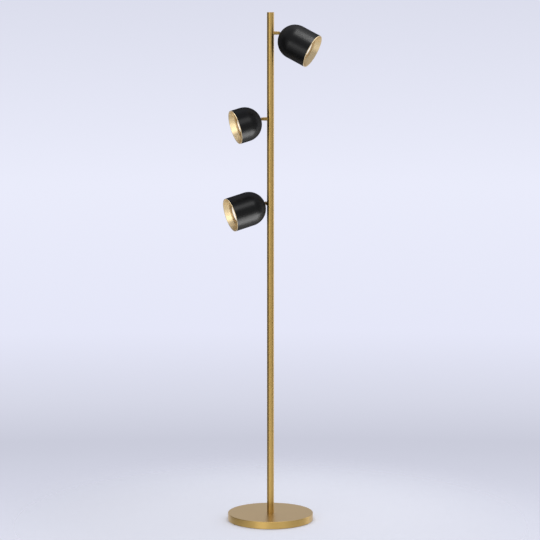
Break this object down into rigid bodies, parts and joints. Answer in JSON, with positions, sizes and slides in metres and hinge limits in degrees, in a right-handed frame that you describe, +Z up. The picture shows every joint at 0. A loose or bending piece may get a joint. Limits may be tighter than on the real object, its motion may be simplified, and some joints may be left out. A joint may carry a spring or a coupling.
{
  "type": "tree floor lamp",
  "caption": "Floor lamp: brass-finished pole on a round weighted base, with black dome-ended tubular shades on short swivel and tilt arms.",
  "frame": {"origin": "centre of the base's underside, on the pole's axis", "axes": "+Z up along the pole; -Y is the front that faces the viewer, with +X to the right"},
  "size_m": [0.2921, 0.2584, 1.524],
  "materials": {
    "satin_brass_cover": "pressed steel shell, satin brass plated and lacquered",
    "satin_brass_tube": "drawn steel tube, satin brass plated and lacquered",
    "satin_brass_arm": "turned steel, satin brass plated",
    "satin_brass_screw": "turned steel screw, brass plated",
    "black_powder_coat": "spun steel, satin black powder coat",
    "gold_reflector": "spun aluminium, gold anodised, satin",
    "gold_trim": "die-cast aluminium, gold coloured, ribbed",
    "opal_diffuser": "moulded opal polycarbonate",
    "sink_aluminium": "die-cast, raw",
    "board_white": "white solder mask on a metal-core board",
    "cast_iron_weight": "sand cast, black primer",
    "steel_plate": "pressed sheet steel, black",
    "steel_insert": "machined steel, zinc plated",
    "zinc_fasteners": "zinc plated steel",
    "rubber_pad": "smooth black sheet rubber",
    "rubber_grommet": "moulded black rubber",
    "driver_case": "moulded white plastic case",
    "lead_sleeve": "extruded insulation"
  },
  "bodies": {
    "stand": {"base_cover": "satin_brass_cover", "base_pad": "rubber_pad", "base_plate": "steel_plate", "base_screws": "zinc_fasteners", "base_weight": "cast_iron_weight", "cord_grommet": "rubber_grommet", "coupler_lower": "steel_insert", "coupler_upper": "steel_insert", "led_driver": "driver_case", "pole_cap": "satin_brass_tube", "pole_foot_stud": "steel_insert", "pole_lower": "satin_brass_tube", "pole_middle": "satin_brass_tube", "pole_nut": "zinc_fasteners", "pole_upper": "satin_brass_tube", "top_arm": "satin_brass_arm", "top_arm_block": "steel_insert", "top_grub_screw": "zinc_fasteners", "top_lead": "lead_sleeve", "middle_arm": "satin_brass_arm", "middle_arm_block": "steel_insert", "middle_grub_screw": "zinc_fasteners", "middle_lead": "lead_sleeve", "bottom_arm": "satin_brass_arm", "bottom_arm_block": "steel_insert", "bottom_grub_screw": "zinc_fasteners", "bottom_lead": "lead_sleeve"},
    "top_swivel": {"top_yoke": "satin_brass_arm", "top_pivot_screw": "satin_brass_screw"},
    "top_head": {"top_bracket": "satin_brass_arm", "top_stem": "steel_insert", "top_shade": "black_powder_coat", "top_heat_sink": "sink_aluminium", "top_led_board": "board_white", "top_reflector": "gold_reflector", "top_trim_ring": "gold_trim", "top_diffuser": "opal_diffuser", "top_head_lead": "lead_sleeve"},
    "middle_swivel": {"middle_yoke": "satin_brass_arm", "middle_pivot_screw": "satin_brass_screw"},
    "middle_head": {"middle_bracket": "satin_brass_arm", "middle_stem": "steel_insert", "middle_shade": "black_powder_coat", "middle_heat_sink": "sink_aluminium", "middle_led_board": "board_white", "middle_reflector": "gold_reflector", "middle_trim_ring": "gold_trim", "middle_diffuser": "opal_diffuser", "middle_head_lead": "lead_sleeve"},
    "bottom_swivel": {"bottom_yoke": "satin_brass_arm", "bottom_pivot_screw": "satin_brass_screw"},
    "bottom_head": {"bottom_bracket": "satin_brass_arm", "bottom_stem": "steel_insert", "bottom_shade": "black_powder_coat", "bottom_heat_sink": "sink_aluminium", "bottom_led_board": "board_white", "bottom_reflector": "gold_reflector", "bottom_trim_ring": "gold_trim", "bottom_diffuser": "opal_diffuser", "bottom_head_lead": "lead_sleeve"}
  },
  "joints": [
    {"name": "top_swivel_turn", "type": "hinge", "parent": "stand", "child": "top_swivel", "pos_m": [0.02317, -0.00798, 1.463], "axis": [0.9455, -0.3256, 0], "range_deg": [-170, 170]},
    {"name": "top_shade_tilt", "type": "hinge", "parent": "top_swivel", "child": "top_head", "pos_m": [0.02317, -0.00798, 1.463], "axis": [0.3256, 0.9455, 0], "range_deg": [-70, 20]},
    {"name": "middle_swivel_turn", "type": "hinge", "parent": "stand", "child": "middle_swivel", "pos_m": [-0.0233, -0.00757, 1.2105], "axis": [-0.9511, -0.309, 0], "range_deg": [-170, 170]},
    {"name": "middle_shade_tilt", "type": "hinge", "parent": "middle_swivel", "child": "middle_head", "pos_m": [-0.0233, -0.00757, 1.2105], "axis": [0.309, -0.9511, 0], "range_deg": [-60, 30]},
    {"name": "bottom_swivel_turn", "type": "hinge", "parent": "stand", "child": "bottom_swivel", "pos_m": [-0.01225, 0.02122, 0.958], "axis": [-0.5, 0.866, 0], "range_deg": [-2, 30]},
    {"name": "bottom_shade_tilt", "type": "hinge", "parent": "bottom_swivel", "child": "bottom_head", "pos_m": [-0.01225, 0.02122, 0.958], "axis": [-0.236, -0.1363, 0.9621], "range_deg": [-160, 2]}
  ]
}
